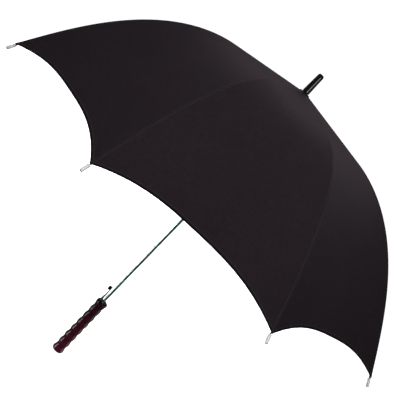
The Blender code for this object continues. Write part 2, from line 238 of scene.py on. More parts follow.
def cloth_look():
    """Tight black plain weave with a soft sheen, slubs along both threads, and stitching at seam and hem."""
    look = Look("canopy_weave")
    threads = look.split(look.place("weave", (1 / THREAD_PITCH, 1 / THREAD_PITCH, 1)))
    warp = look.math("ABSOLUTE", look.math("SINE", look.math("MULTIPLY", threads[0], math.pi)))
    weft = look.math("ABSOLUTE", look.math("SINE", look.math("MULTIPLY", threads[1], math.pi)))
    over = look.math("ADD", look.math("FLOOR", threads[0]), look.math("FLOOR", threads[1]))
    over = look.math("MODULO", look.math("ABSOLUTE", over), 2.0)
    warp = look.math("MULTIPLY", warp, over)
    weft = look.math("MULTIPLY", weft, look.math("SUBTRACT", 1.0, over))
    weave = look.math("ADD", warp, weft)
    slub_x = look.noise(look.place("weave", (900, 25, 1)), 1.0, 2.0)
    slub_y = look.noise(look.place("weave", (25, 900, 1)), 1.0, 2.0)
    slub = look.math("ADD", slub_x, slub_y)
    cloud = look.noise(look.place(), 170.0, 3.0, 0.65)
    patch = look.noise(look.place(), 7.0, 3.0, 0.5)
    trim = look.split(look.place("trim"))
    along = look.split(look.place("weave"))
    seam = stitch_row(look, trim[0], SEAM_STITCH, along[1])
    hem = stitch_row(look, trim[1], HEM_STITCH, along[0])
    stitch = look.math("MAXIMUM", seam, hem)
    shade = look.math("MULTIPLY", look.scale(cloud, 0.32, 0.68, 0.0, 1.0), 0.5)
    shade = look.math("ADD", shade, look.math("MULTIPLY", look.scale(slub, 0.8, 1.2, 0.0, 1.0), 0.3))
    shade = look.math("ADD", shade, look.math("MULTIPLY", look.scale(patch, 0.3, 0.7, 0.0, 1.0), 0.2))
    colour = look.mix(shade, (0.0062, 0.0044, 0.0056), (0.0130, 0.0096, 0.0116))
    colour = look.mix(look.math("MULTIPLY", weave, 0.25), colour, (0.022, 0.0175, 0.0205))
    colour = look.mix(look.math("MULTIPLY", stitch, 0.8), colour, (0.032, 0.028, 0.030))
    # painted shade: the cloth darkens to near black over the folded hem
    hem_painted_shade = look.scale(trim[1], HEM_FOLD / 3, HEM_FOLD * 2 / 3, 0.75, 0.0, smooth=True)
    colour = look.mix(hem_painted_shade, colour, (0.0012, 0.0011, 0.0012))
    look.set(Base_Color=colour, Roughness=look.scale(weave, 0.0, 1.0, 0.80, 0.64), Specular_IOR_Level=0.0)
    look.set(Sheen_Weight=0.02, Sheen_Roughness=0.5, Sheen_Tint=(0.80, 0.72, 0.78))
    height = look.math("ADD", look.math("MULTIPLY", weave, 0.35), look.math("MULTIPLY", slub, 0.25))
    look.bump(look.math("ADD", height, look.math("MULTIPLY", stitch, 1.6)), 0.00016, 0.7)
    return look.material


def chrome_look():
    """Bright chrome with fine streaks along the shaft and a faint cloud of handling marks."""
    look = Look("shaft_chrome")
    streaks = look.noise(look.place(scale=(900, 900, 12)), 1.0, 3.0)
    cloud = look.noise(look.place(), 40.0, 4.0, 0.65)
    colour = look.mix(look.scale(cloud, 0.3, 0.7, 0.0, 1.0), (0.42, 0.53, 0.53), (0.55, 0.65, 0.65))
    streaked = look.scale(streaks, 0.3, 0.7, 0.08, 0.16)
    roughness = look.math("ADD", streaked, look.scale(cloud, 0.45, 0.75, 0.0, 0.06))
    look.set(Base_Color=colour, Metallic=1.0, Roughness=roughness)
    look.bump(streaks, 0.00002, 0.5)
    return look.material


def lacquer_look():
    """Clear lacquer over dark red stained wood, with painted light on the crests, painted shade in the
    valleys and painted shade at both ends.
    """
    look = Look("handle_lacquer")
    xyz = look.split(look.place())
    squares = [look.math("MULTIPLY", value, value) for value in xyz[:2]]
    radius = look.math("SQRT", look.math("ADD", *squares))
    # painted light and shade: the colour is lighter on the crests and darker in the valleys, following the
    # turned radius
    painted_crest_light = look.scale(radius, VALLEY_R - 0.0002, BUMP_R + 0.0002, 0.0, 1.0, smooth=True)
    grain = look.noise(look.place(scale=(420, 420, 26)), 1.0, 5.0, 0.62)
    pores = look.noise(look.place(scale=(1500, 1500, 90)), 1.0, 2.0)
    cloud = look.noise(look.place(), 55.0, 3.0)
    # painted shade: the grip darkens towards its foot and towards its head
    foot = look.scale(xyz[2], 0.010, 0.000, 0.0, 1.0)
    head = look.scale(xyz[2], 0.186, 0.197, 0.0, 1.0)
    ends = look.math("MAXIMUM", foot, head)
    colour = look.mix(painted_crest_light, (0.050, 0.0024, 0.0110), (0.150, 0.0080, 0.0330))
    colour = look.mix(look.scale(grain, 0.38, 0.66, 0.0, 0.7), colour, (0.175, 0.0130, 0.0430))
    colour = look.mix(look.scale(pores, 0.60, 0.72, 0.0, 0.55), colour, (0.008, 0.0012, 0.0025))
    colour = look.mix(look.scale(cloud, 0.45, 0.75, 0.0, 0.35), colour, (0.028, 0.0030, 0.0110))
    colour = look.mix(look.math("MULTIPLY", ends, 0.6), colour, (0.010, 0.0018, 0.0040))
    look.set(Base_Color=colour, Roughness=look.scale(grain, 0.3, 0.7, 0.34, 0.22))
    look.set(Specular_IOR_Level=0.25)
    look.set(Coat_Weight=0.6, Coat_Roughness=0.13, Coat_IOR=1.5)
    look.bump(look.math("ADD", grain, look.math("MULTIPLY", pores, 0.4)), 0.00010, 0.35)
    return look.material


def gloss_black_look():
    """Glossy black moulding with faint turning marks and paler edges."""
    look = Look("black_gloss")
    cloud = look.noise(look.place(), 160.0, 4.0, 0.6)
    turned = look.noise(look.place(scale=(30, 30, 1400)), 1.0, 2.0)
    clouded = look.scale(cloud, 0.35, 0.7, 0.0, 1.0)
    colour = look.mix(clouded, (0.0018, 0.0019, 0.0022), (0.0040, 0.0041, 0.0045))
    colour = look.mix(look.math("MULTIPLY", look.edges(0.0006), 0.25), colour, (0.03, 0.03, 0.031))
    look.set(Base_Color=colour, Roughness=look.scale(cloud, 0.3, 0.7, 0.10, 0.16))
    look.set(Coat_Weight=0.4, Coat_Roughness=0.05)
    look.bump(turned, 0.00001, 0.25)
    return look.material


def moulding_look():
    """Black moulded plastic with a fine spark-eroded grain, rubbed smoother along its edges."""
    look = Look("black_moulding")
    grain = look.noise(look.place(), 2600.0, 2.0)
    cloud = look.noise(look.place(), 120.0, 3.0)
    worn = look.edges(0.0007)
    clouded = look.scale(cloud, 0.3, 0.7, 0.0, 1.0)
    colour = look.mix(clouded, (0.0035, 0.0035, 0.0038), (0.0070, 0.0070, 0.0076))
    colour = look.mix(look.math("MULTIPLY", worn, 0.3), colour, (0.030, 0.030, 0.032))
    grained = look.scale(grain, 0.3, 0.7, 0.42, 0.56)
    roughness = look.math("SUBTRACT", grained, look.math("MULTIPLY", worn, 0.16))
    look.set(Base_Color=colour, Roughness=roughness)
    look.bump(grain, 0.00004, 0.5)
    return look.material


def metal_look(name, low, high, rough, lay, clouding, wear=0.0, metallic=1.0):
    """Metal between two colours and two roughnesses. lay is the scale of its scratches along x, y and z, and
    clouding that of its cloud; wear brightens its edges."""
    look = Look(name)
    scratches = look.noise(look.place(scale=lay), 1.0, 3.0, 0.6)
    cloud = look.noise(look.place(), clouding, 4.0, 0.6)
    shade = look.math("ADD", look.math("MULTIPLY", scratches, 0.5), look.math("MULTIPLY", cloud, 0.5))
    colour = look.mix(look.scale(shade, 0.35, 0.65, 0.0, 1.0), low, high)
    if wear:
        colour = look.mix(look.math("MULTIPLY", look.edges(0.0004), wear), colour, (0.45, 0.45, 0.46))
    look.set(Base_Color=colour, Metallic=metallic, Roughness=look.scale(scratches, 0.3, 0.7, *rough))
    look.bump(scratches, 0.00002, 0.5)
    return look.material


CLOTH_LOOK = cloth_look()
CHROME_LOOK = chrome_look()
LACQUER_LOOK = lacquer_look()
GLOSS_LOOK = gloss_black_look()
MOULDING_LOOK = moulding_look()
TIP_LOOK = metal_look(
    "tip_nickel",
    low=(0.59, 0.61, 0.61),
    high=(0.73, 0.75, 0.75),
    rough=(0.34, 0.46),
    lay=(700, 700, 700),
    clouding=300.0,
    metallic=0.40,
)
STEEL_LOOK = metal_look(
    "bright_steel",
    low=(0.70, 0.72, 0.73),
    high=(0.90, 0.92, 0.92),
    rough=(0.24, 0.36),
    lay=(1500, 1500, 30),
    clouding=150.0,
    metallic=0.25,
)
RIB_LOOK = metal_look(
    "rib_black_steel",
    low=(0.010, 0.010, 0.011),
    high=(0.026, 0.026, 0.028),
    rough=(0.30, 0.44),
    lay=(400, 400, 400),
    clouding=60.0,
    wear=0.5,
    metallic=0.2,
)


# ---------------------------------------------------------------- mesh helpers


def add_object(name, mesh, look, body, nodes=(), smooth_deg=35):
    """A finished piece that rides on a body; nodes are the CAD nodes that it stands for."""
    obj = bpy.data.objects.new(name, mesh)
    bpy.context.scene.collection.objects.link(obj)
    mesh.materials.clear()
    mesh.materials.append(look)
    mesh.shade_smooth()
    mesh.set_sharp_from_angle(angle=math.radians(smooth_deg))
    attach(obj, body)
    if nodes:
        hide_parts(*nodes)
    return obj


def turned_mesh(name, outline, sides):
    """A closed outline of (radius, z) turned about z; points at radius 0 become poles."""
    bm = bmesh.new()
    rings = []
    for radius, z in outline:
        if radius < 1e-9:
            rings.append([bm.verts.new((0, 0, z))] * sides)
            continue
        angles = [2 * math.pi * i / sides for i in range(sides)]
        rings.append([bm.verts.new((radius * math.cos(a), radius * math.sin(a), z)) for a in angles])
    for low, high in zip(rings, rings[1:] + rings[:1]):
        for i in range(sides):
            j = (i + 1) % sides
            corners = []
            for v in (low[i], low[j], high[j], high[i]):
                if v not in corners:
                    corners.append(v)
            if len(corners) > 2:
                bm.faces.new(corners)
    bmesh.ops.recalc_face_normals(bm, faces=bm.faces)
    mesh = bpy.data.meshes.new(name)
    bm.to_mesh(mesh)
    bm.free()
    return mesh


def rounded(outline, radius, steps=4):
    """The closed outline with its corners rounded off, save those on the axis and nearly straight ones."""
    out = []
    count = len(outline)
    for i in range(count):
        a, b, c = (np.array(outline[(i + d) % count], float) for d in (-1, 0, 1))
        before, after = a - b, c - b
        long_a, long_c = np.linalg.norm(before), np.linalg.norm(after)
        turn = math.acos(max(-1.0, min(1.0, float(before @ after) / (long_a * long_c))))
        if abs(b[0]) < 1e-9 or turn > math.radians(165):
            out.append(tuple(b))
            continue
        cut = min(radius, 0.45 * long_a, 0.45 * long_c)
        p, q = b + before / long_a * cut, b + after / long_c * cut
        for s in np.linspace(0, 1, steps + 1):
            out.append(tuple((1 - s) ** 2 * p + 2 * s * (1 - s) * b + s * s * q))
    return out


def refined(node, width, look, body, segments=2):
    """A copy of a CAD node with its facets joined and its edges rounded, which stands for it."""
    bm = bmesh.new()
    bm.from_mesh(NODES[node].data)
    bmesh.ops.remove_doubles(bm, verts=bm.verts, dist=2e-6)
    bmesh.ops.dissolve_limit(bm, angle_limit=math.radians(1.0), verts=bm.verts, edges=bm.edges)
    sharp = [e for e in bm.edges if len(e.link_faces) == 2 and e.calc_face_angle() > math.radians(28)]
    bmesh.ops.bevel(
        bm,
        geom=sharp,
        offset=width,
        offset_type="OFFSET",
        segments=segments,
        profile=0.5,
        affect="EDGES",
        clamp_overlap=True,
    )
    bmesh.ops.recalc_face_normals(bm, faces=bm.faces)
    mesh = bpy.data.meshes.new(node + "_look")
    bm.to_mesh(mesh)
    bm.free()
    return add_object(node + "_finished", mesh, look, body, [node], 30)


# ---------------------------------------------------------------- canopy


def profile_table():
    """The cloth's line over a rib: shares of its arc with their radius, height and slope."""
    steps = 1500
    share = (np.arange(steps) + 0.5) / steps
    bent = np.clip((share - STRAIGHT) / (1 - STRAIGHT), 0, 1)
    bent = 1 - (1 - bent) ** BEND_POWER
    slope = np.radians(SLOPE_IN_DEG + (SLOPE_OUT_DEG - SLOPE_IN_DEG) * bent)
    r = HUB_R + np.concatenate([[0], np.cumsum(np.cos(slope))]) * RIB_ARC / steps
    z = TOP_Z - np.concatenate([[0], np.cumsum(np.sin(slope))]) * RIB_ARC / steps
    return np.arange(steps + 1) / steps, r, z, np.append(slope, slope[-1])


TABLE = profile_table()
CLOTH_START_SHARE = float(np.interp(CLOTH_START_R, TABLE[1], TABLE[0]))


def cloth_line(share):
    """Radius, height and slope of the cloth over a rib, for an array of shares of the arc."""
    s, r, z, slope = TABLE
    beta = np.interp(share, s, slope)
    beyond = np.maximum(share - 1, 0) * RIB_ARC
    r_at = np.interp(share, s, r) + beyond * np.cos(beta)
    return r_at, np.interp(share, s, z) - beyond * np.sin(beta), beta


def rib_angle(k):
    """Angle from +X of rib k's direction, for k from 1."""
    return math.radians(FIRST_RIB_DEG + (k - 1) * 360 / RIBS - 90)


def smooth(x):
    """0 up to 0, 1 from 1 on, and a smooth step between."""
    x = np.clip(x, 0, 1)
    return x * x * (3 - 2 * x)


def hem_share(w):
    """Share of the arc where the hem runs, w being -1 and 1 at a gore's ribs and 0 at its middle."""
    return 1 - HEM_RISE * (1 - np.abs(w) ** HEM_POWER)


def crease_table():
    """For each gore and each of its corners: (place between hem and rib, height, width) of each crease."""
    table = []
    for _ in range(RIBS):
        corners = []
        for _ in range(2):
            places = np.array(CREASE_PLACES) + rng.uniform(-0.05, 0.05, len(CREASE_PLACES))
            heights = np.array(CREASE_HEIGHTS) * rng.uniform(0.6, 1.15, len(CREASE_PLACES))
            widths = np.radians(CREASE_WIDTHS_DEG) * rng.uniform(0.9, 1.2, len(CREASE_PLACES))
            corners.append(list(zip(places, heights, widths)))
        table.append(corners)
    return table


CREASES = crease_table()
CORNER_R = float(cloth_line(np.array(1.0))[0])
HEM_ANGLE = math.atan2(HEM_RISE * HEM_POWER * RIB_ARC, CORNER_R * math.sin(HALF_GORE))
RIB_SIDE_ANGLE = math.radians(78)


def turned_about(points, angle):
    """The points turned about z."""
    out = points.copy()
    out[..., 0] = points[..., 0] * math.cos(angle) - points[..., 1] * math.sin(angle)
    out[..., 1] = points[..., 0] * math.sin(angle) + points[..., 1] * math.cos(angle)
    return out


def gore_creases(gore, w, share, radius):
    """Height of the creases that run from a gore's two corners, which stretch it to the rib tips."""
    across = w * radius * math.sin(HALF_GORE)
    up = (1 - share) * RIB_ARC
    height = np.zeros_like(share)
    for side, creases in zip((-1, 1), CREASES[gore % RIBS]):
        inward = CORNER_R * math.sin(HALF_GORE) - side * across
        distance = np.sqrt(inward ** 2 + up ** 2)
        angle = np.arctan2(up, np.maximum(inward, 1e-9))
        place = (angle - HEM_ANGLE) / (RIB_SIDE_ANGLE - HEM_ANGLE)
        fade = distance / CREASE_PEAK * np.exp(1 - distance / CREASE_PEAK)
        for where, tall, wide in creases:
            off = (place - where) * (RIB_SIDE_ANGLE - HEM_ANGLE)
            height += CREASE * tall * fade * np.exp(-((off / wide) ** 2))
    return height


def loose_height(gore, w, share, radius, from_rib, from_hem):
    """How far the cloth stands off the plain surface between its ribs: sag, puckers and creases."""
    half = radius * math.sin(HALF_GORE)
    depth = SAG_AT_HEM + (SAG - SAG_AT_HEM) * (1 - smooth((share - SAG_FADES_FROM) / (1 - SAG_FADES_FROM)))
    sag = -depth * 2 * half * (1 - w ** 2) * smooth(share / SAG_FULL_FROM)
    pucker = PUCKER * np.sin(2 * math.pi * share * RIB_ARC / PUCKER_PITCH + PUCKER_SHIFT * gore)
    pucker = pucker * smooth(from_rib / PUCKER_START) * np.exp(-from_rib / PUCKER_REACH)
    hem_pucker = HEM_PUCKER * np.sin(2 * math.pi * w * half / HEM_PUCKER_PITCH + gore)
    hem_pucker = hem_pucker * np.exp(-np.maximum(from_hem, 0) / HEM_PUCKER_REACH)
    hem_pucker = hem_pucker * smooth(from_rib / HEM_PUCKER_START)
    return sag + pucker + hem_pucker + gore_creases(gore, w, share, radius)


def sewn_height(from_rib, from_hem):
    """Height of the cloth's outer face above its plain surface, at seam, hem and stitches too."""
    height = CLOTH_TOP + SEAM_RISE * (1 - smooth((from_rib - 0.5 * SEAM_HALF) / (0.5 * SEAM_HALF)))
    height = height + HEM_STEP * (1 - smooth((from_hem - HEM_FOLD) / HEM_FOLD_SOFT + 0.5))
    return height - STITCH_DIMPLE * np.exp(-(((from_hem - HEM_STITCH) / STITCH_HALF) ** 2))


def gore_surface(gore, w, share):
    """Outer face of the cloth in gore gore, which lies between ribs gore and gore + 1.

    w is -1 on the first rib and 1 on the second; share is the share of the arc. Both are arrays."""
    radius, z, beta = cloth_line(share)
    half = radius * math.sin(HALF_GORE)
    base = np.stack([radius * math.cos(HALF_GORE), w * half, z], -1)
    plane = np.stack([np.sin(beta), np.zeros_like(beta), np.cos(beta) * math.cos(HALF_GORE)], -1)
    plane /= np.linalg.norm(plane, axis=-1, keepdims=True)
    across = np.sign(w) * np.sin(beta) * math.sin(HALF_GORE)
    rib = np.stack([np.sin(beta) * math.cos(HALF_GORE), across, np.cos(beta)], -1)
    from_rib = (1 - np.abs(w)) * half
    from_hem = (hem_share(w) - share) * RIB_ARC
    lean = smooth(from_rib / SEAM_LEAN)[..., None]
    normal = rib * (1 - lean) + plane * lean
    normal /= np.linalg.norm(normal, axis=-1, keepdims=True)
    proud = sewn_height(from_rib, from_hem)
    loose = loose_height(gore, w, share, radius, from_rib, from_hem)
    point = base + proud[..., None] * normal + loose[..., None] * plane
    return turned_about(point, rib_angle(gore) + HALF_GORE)


# Columns near a seam: distance from the rib, and the most that it may be as a share of the half gore's width
SEAM_COLUMNS = ((0.0, 0.0), (0.0009, 0.05), (0.0018, 0.10), (0.0027, 0.15), (0.0036, 0.20), (0.0060, 0.28))
PLAIN_COLUMNS = 18
EDGE = 0.0008  # width of the last column and row beside a cut


def column_places(half):
    """Distances from the rib of the columns of a half gore, close together at the seam and at its middle."""
    near = np.stack([np.minimum(d, f * half) for d, f in SEAM_COLUMNS], -1)
    start = near[..., -1:]
    steps = np.linspace(0, 1, PLAIN_COLUMNS + 1)[1:-1]
    plain = start + (half[..., None] - start) * steps
    edge = half[..., None] - np.minimum(EDGE, 0.1 * half[..., None])
    return np.concatenate([near, plain, edge, half[..., None]], -1)


# Distances from the hem
HEM_ROWS = (0.0, 0.0008, 0.0030, 0.0060, 0.0068, 0.0074, 0.0080, 0.0086, 0.0094, 0.0104)


def outer_rows(count):
    """Rows from the hem up to the joint: (a, b) puts one a + b * (hem to joint) from the hem."""
    rows = [(gap, 0.0) for gap in HEM_ROWS]
    rows += [(HEM_ROWS[-1] * (1 - s) - EDGE * s, s) for s in np.linspace(0, 1, count)[1:]]
    return np.array(rows + [(0.0, 1.0)])


def inner_rows(count):
    """Rows from the joint up to the crown."""
    length = (JOINT_SHARE - CROWN_SHARE) * RIB_ARC
    return np.array([(0.0, 1.0)] + [(EDGE + (length - EDGE) * s, 1.0) for s in np.linspace(0, 1, count)])


def crown_rows(low, high, count):
    """Rows of a ring of the crown, from the share of the arc at its lower edge to that at its upper one."""
    return np.array([((JOINT_SHARE - s) * RIB_ARC, 1.0) for s in np.linspace(low, high, count)])


def grid_mesh(name, points, flip, uv):
    """A mesh of quads through a grid of points, with a UV map for each grid in uv."""
    rows, columns = points.shape[:2]
    index = np.arange(rows * columns).reshape(rows, columns)
    a, b, c, d = index[:-1, :-1], index[:-1, 1:], index[1:, 1:], index[1:, :-1]
    quads = np.stack([a, d, c, b] if flip else [a, b, c, d], -1).reshape(-1, 4)
    mesh = bpy.data.meshes.new(name)
    mesh.from_pydata([tuple(p) for p in points.reshape(-1, 3)], [], quads.tolist())
    for title, values in uv.items():
        layer = mesh.uv_layers.new(name=title)
        layer.data.foreach_set("uv", values.reshape(-1, 2)[quads.reshape(-1)].astype(np.float32).ravel())
    return mesh


def surface_area(points):
    across = points[1:, 1:] - points[:-1, :-1]
    down = points[1:, :-1] - points[:-1, 1:]
    return float(np.linalg.norm(np.cross(across, down), axis=-1).sum() / 2)


# A column's place depends a little on its row, and the row on its column, so they are found in rounds
PLACING_ROUNDS = 8


def half_gore(name, rib, side, rows, body, node):
    """Cloth of half a gore, from the rib to the gore's middle; side is 1 towards the next rib and -1 back.

    Returns the piece, its flat size and its area."""
    gore = rib if side > 0 else rib - 1
    columns = len(SEAM_COLUMNS) + PLAIN_COLUMNS + 1
    a, b = rows[:, :1], rows[:, 1:]
    w = np.tile(np.linspace(1, 0, columns), (len(rows), 1))
    for _ in range(PLACING_ROUNDS):
        gap = a + b * (hem_share(w) - JOINT_SHARE) * RIB_ARC
        shares = hem_share(w) - gap / RIB_ARC
        half = cloth_line(shares)[0] * math.sin(HALF_GORE)
        places = np.stack([column_places(half[:, i])[:, i] for i in range(columns)], 1)
        w = 1 - places / half
    signed = -side * w
    points = gore_surface(gore, signed, shares)
    uv = {
        "weave": np.stack([signed * half, shares * RIB_ARC], -1),
        "trim": np.stack([(1 - w) * half, gap], -1),
    }
    mesh = grid_mesh(name, points, side < 0, uv)
    obj = add_object(name, mesh, CLOTH_LOOK, body, [node], 60)
    mark_rim(mesh)
    thicken(obj, gap.reshape(-1))
    flat = (float(half.max()), float((shares.max() - shares.min()) * RIB_ARC))
    return obj, flat, surface_area(points)


def mark_rim(mesh):
    """Keeps the cloth's faces smooth up to its cut edges."""
    uses = np.zeros(len(mesh.edges), int)
    edge_of = np.zeros(len(mesh.loops), np.int32)
    mesh.loops.foreach_get("edge_index", edge_of)
    np.add.at(uses, edge_of, 1)
    mark = mesh.attributes.get("sharp_edge") or mesh.attributes.new("sharp_edge", "BOOLEAN", "EDGE")
    mark.data.foreach_set("value", uses == 1)


def thicken(obj, gap):
    """Gives the cloth its thickness, more in the folded hem; gap is each point's distance from the hem."""
    group = obj.vertex_groups.new(name="hem")
    weight = 1 - smooth((gap - HEM_FOLD + 0.001) / 0.002)
    for i in np.nonzero(weight > 0)[0]:
        group.add([int(i)], float(weight[i]), "REPLACE")
    thick = obj.modifiers.new("cloth", "SOLIDIFY")
    thick.thickness = HEM_CLOTH
    thick.offset = -1
    thick.vertex_group = "hem"
    thick.thickness_vertex_group = CLOTH / HEM_CLOTH


# Section of the felled seam: distance from the rib's line and height above the cloth's outer face
BAND = (
    (0.0040, -0.0003),
    (0.0040, 0.0001),
    (0.0037, 0.00028),
    (0.0030, 0.00034),
    (SEAM_STITCH, 0.00024),
    (0.0022, 0.00036),
    (0.0012, 0.00042),
    (0.0, 0.00044),
)
BAND_UNDERSIDE = ((SEAM_STITCH, -0.0003), (0.0, -0.0003), (-SEAM_STITCH, -0.0003))
FAR_FROM_HEM = 0.05


def seam_band(name, rib, first, last, rows, body):
    """The sewn seam over a rib, a closed strip that rides on the rib and covers where two gores meet."""
    shares = np.linspace(first, last, rows)
    radius, _, beta = cloth_line(shares)
    half = radius * math.sin(HALF_GORE)
    turn = rib_angle(rib)
    up = np.stack([np.sin(beta) * math.cos(turn), np.sin(beta) * math.sin(turn), np.cos(beta)], -1)
    section = [(-d, h) for d, h in BAND] + [(d, h) for d, h in BAND[-2::-1]] + list(BAND_UNDERSIDE)
    lines = []
    weave = []
    trim = []
    for d, h in section:
        side = 1 if d >= 0 else -1
        gore = rib if side > 0 else rib - 1
        reach = np.minimum(abs(d), 0.45 * half)
        lines.append(gore_surface(gore, -side * (1 - reach / half), shares) + h * up)
        weave.append(np.stack([np.full_like(shares, d), shares * RIB_ARC], -1))
        trim.append(np.stack([np.full_like(shares, abs(d)), np.full_like(shares, FAR_FROM_HEM)], -1))
    for values in (lines, weave, trim):
        values.append(values[0])
    uv = {"weave": np.stack(weave, 1), "trim": np.stack(trim, 1)}
    mesh = grid_mesh(name, np.stack(lines, 1), False, uv)
    bm = bmesh.new()
    bm.from_mesh(mesh)
    bmesh.ops.remove_doubles(bm, verts=bm.verts, dist=1e-7)
    bmesh.ops.holes_fill(bm, edges=[e for e in bm.edges if e.is_boundary], sides=0)
    bmesh.ops.recalc_face_normals(bm, faces=bm.faces)
    bm.to_mesh(mesh)
    bm.free()
    return add_object(name, mesh, CLOTH_LOOK, body, (), 50)


# Leans for fold_flat(). A lean is that of the folding plane's line at mid-gore.
INNER_LEAN = math.radians(14)
OUTER_LEAN = math.radians(45)
# Rings from the hub down: share of the arc where each ends, and the share of its width that its cloth
# keeps.
CROWN_RINGS = ((0.033, 0.82), (0.056, 0.63), (0.093, 0.43), (0.146, 0.29))
CROWN_SHARE = CROWN_RINGS[-1][0]


def fold_flat(obj, rib, side, lean):
    """Works out the axis, along the line from the rib to mid-gore less the part of it that lies along the
    rib, about which a half gore would flatten onto its rib; the axis is not used, and the half gore only gets
    its own mesh."""
    a = rib_angle(rib)
    along = Vector((math.cos(a), math.sin(a), 0))
    across = Vector((-math.sin(a), math.cos(a), 0))
    s = math.sin(HALF_GORE)
    axis = -s * math.sin(lean) ** 2 * along + side * math.cos(HALF_GORE) * across
    axis -= Vector((0, 0, s * math.sin(lean) * math.cos(lean)))
    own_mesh(obj)


def make_crown(rib, side, letter):
    """The rings of a half gore round the hub."""
    rings = []
    top = CLOTH_START_SHARE
    for number, (end, keep) in enumerate(CROWN_RINGS, 1):
        name = f"cloth_crown{number}_{rib}{letter}"
        obj, _, _ = half_gore(name, rib, side, crown_rows(end, top, 9), f"rib_{rib}", f"canopy_inner_{rib}")
        fold_flat(obj, rib, side, INNER_LEAN)
        rings.append(obj)
        top = end
    return rings


def make_canopy():
    inner, outer = inner_rows(44), outer_rows(96)
    for rib in range(1, RIBS + 1):
        on_inner, on_outer = f"rib_{rib}", f"rib_end_{rib}"
        inner_band = seam_band(f"seam_inner_{rib}", rib, CLOTH_START_SHARE, JOINT_SHARE, 80, on_inner)
        outer_band = seam_band(f"seam_outer_{rib}", rib, JOINT_SHARE, 1.0, 110, on_outer)
        for side, letter in ((-1, "a"), (1, "b")):
            rings = make_crown(rib, side, letter)
            name = f"cloth_inner_{rib}{letter}"
            obj, flat, area = half_gore(name, rib, side, inner, on_inner, f"canopy_inner_{rib}")
            fold_flat(obj, rib, side, INNER_LEAN)
            name = f"cloth_outer_{rib}{letter}"
            obj, flat, area = half_gore(name, rib, side, outer, on_outer, f"canopy_outer_{rib}")
            fold_flat(obj, rib, side, OUTER_LEAN)


# ---------------------------------------------------------------- turned and machined parts


def spline(points, steps):
    """A smooth line through (radius, z) points, with steps parts between each two."""
    p = np.array(points, float)
    p = np.concatenate([[2 * p[0] - p[1]], p, [2 * p[-1] - p[-2]]])
    out = []
    for i in range(1, len(p) - 2):
        for t in np.linspace(0, 1, steps, endpoint=False):
            a = 2 * p[i]
            b = p[i + 1] - p[i - 1]
            c = 2 * p[i - 1] - 5 * p[i] + 4 * p[i + 1] - p[i + 2]
            d = -p[i - 1] + 3 * p[i] - 3 * p[i + 1] + p[i + 2]
            out.append(tuple(0.5 * (a + b * t + c * t * t + d * t ** 3)))
    out.append(tuple(p[-2]))
    return out


def bar_mesh(outline, half_width):
    """A closed outline of (x, z) given a thickness along y, as a bmesh."""
    bm = bmesh.new()
    sides = [[bm.verts.new((x, y, z)) for x, z in outline] for y in (-half_width, half_width)]
    bm.faces.new(sides[0])
    bm.faces.new(sides[1][::-1])
    count = len(outline)
    for i in range(count):
        j = (i + 1) % count
        bm.faces.new((sides[0][j], sides[0][i], sides[1][i], sides[1][j]))
    bmesh.ops.recalc_face_normals(bm, faces=bm.faces)
    return bm


def cut_from(mesh, cutters):
    """The mesh with each of the cutters, which are bmeshes, taken out of it."""
    obj = bpy.data.objects.new("cutting", mesh)
    bpy.context.scene.collection.objects.link(obj)
    for bm in cutters:
        tool_mesh = bpy.data.meshes.new("cutter")
        bm.to_mesh(tool_mesh)
        bm.free()
        tool = bpy.data.objects.new("cutter", tool_mesh)
        bpy.context.scene.collection.objects.link(tool)
        cut = obj.modifiers.new("cut", "BOOLEAN")
        cut.operation = "DIFFERENCE"
        cut.solver = "EXACT"
        cut.object = tool
        result = bpy.data.meshes.new_from_object(obj.evaluated_get(bpy.context.evaluated_depsgraph_get()))
        obj.modifiers.clear()
        obj.data = result
        bpy.data.objects.remove(tool, do_unlink=True)
    result = obj.data
    bpy.data.objects.remove(obj, do_unlink=True)
    return result


def grip_outline(top):
    """Half section of the grip: a domed end, eight waves and a crown, then down the seat of the shaft."""
    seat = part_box("shaft_tube")[0].z - SHAFT_END_GAP
    foot = [(0.0055, 0.0), (0.0100, 0.0001), (0.0138, 0.0009), (0.0160, 0.0028)]
    foot += [(0.0171, 0.0058), (0.0170, 0.0090)]
    pitch = (LAST_BUMP_Z - FIRST_BUMP_Z) / (BUMPS - 1)
    per_bump = 10
    waves = []
    for i in range(3, (BUMPS - 1) * per_bump - 1):
        wave = 0.5 + 0.5 * math.cos(2 * math.pi * i / per_bump)
        waves.append((VALLEY_R + (BUMP_R - VALLEY_R) * wave ** 0.8, FIRST_BUMP_Z + pitch * i / per_bump))
    crown = [(0.0170, 0.1892), (0.0171, 0.1930), (0.0161, 0.1964), (0.0142, top)]
    mouth = 0.0006  # bevel at the top of the shaft's seat
    outline = [(0.0, 0.0)] + spline(foot + waves + crown, 3)
    outline += [(0.0110, top), (SHAFT_BORE_R + mouth, top), (SHAFT_BORE_R, top - mouth)]
    return outline + [(SHAFT_BORE_R, seat), (0.0, seat)]


def make_handle():
    mesh = turned_mesh("grip", grip_outline(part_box("handle_grip")[1].z), 128)
    recess = [(-0.0134, 0.1840), (-0.0040, 0.1840), (-0.0040, 0.2050), (-0.0134, 0.2050)]
    recess = bar_mesh(rounded(recess, 0.0016, 6), 0.0027)
    low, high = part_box("lever_pin")
    middle = 0.5 * (low + high)
    turns = np.linspace(0, 2 * math.pi, 25)[:-1]
    hole = [(middle.x + PIN_HOLE_R * math.cos(t), middle.z + PIN_HOLE_R * math.sin(t)) for t in turns]
    mesh = cut_from(mesh, [recess, bar_mesh(hole, 0.0075)])
    add_object("grip", mesh, LACQUER_LOOK, "root", ["handle_grip"], 38)


def make_shaft():
    low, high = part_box("shaft_tube")
    inner = SHAFT_R - SHAFT_WALL
    outline = rounded([(SHAFT_R, low.z), (SHAFT_R, high.z), (inner, high.z), (inner, low.z)], 0.0003)
    mesh = turned_mesh("shaft", outline, 96)
    add_object("shaft", mesh, CHROME_LOOK, "root", ["shaft_tube"])


